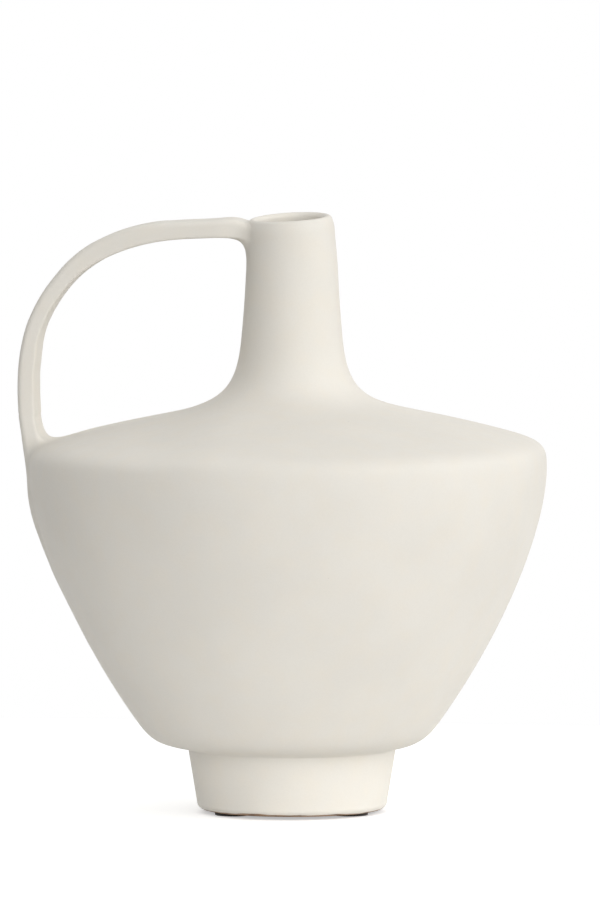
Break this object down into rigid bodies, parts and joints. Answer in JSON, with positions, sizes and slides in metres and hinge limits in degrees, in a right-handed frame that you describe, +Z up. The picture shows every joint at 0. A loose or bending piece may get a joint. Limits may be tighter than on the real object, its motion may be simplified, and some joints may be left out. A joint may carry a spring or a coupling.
{
  "type": "ceramic vase",
  "caption": "Matte off-white ceramic vase with a wide flat-shouldered belly, a narrow foot, a slim neck and one flat strap handle.",
  "frame": {"origin": "centre of the bounding box on the surface that the foot pads rest on, 4.75 mm from the turning axis towards the handle", "axes": "+Z up along the turning axis, handle towards -X, its flat strap across Y"},
  "size_m": [0.314, 0.3046, 0.3535],
  "materials": {
    "coat": "matte off-white slip coat over fired clay",
    "bare_clay": "unglazed brown fired clay",
    "pad": "dark pressed felt"
  },
  "bodies": {
    "root": {"base_disc": "bare_clay", "foot_wall": "coat", "lower_bowl": "coat", "shoulder": "coat", "neck": "coat", "rim_coil": "coat", "handle": "coat", "neck_fillet": "coat", "shoulder_fillet": "coat", "foot_pad_1": "pad", "foot_pad_2": "pad", "foot_pad_3": "pad"}
  },
  "joints": []
}
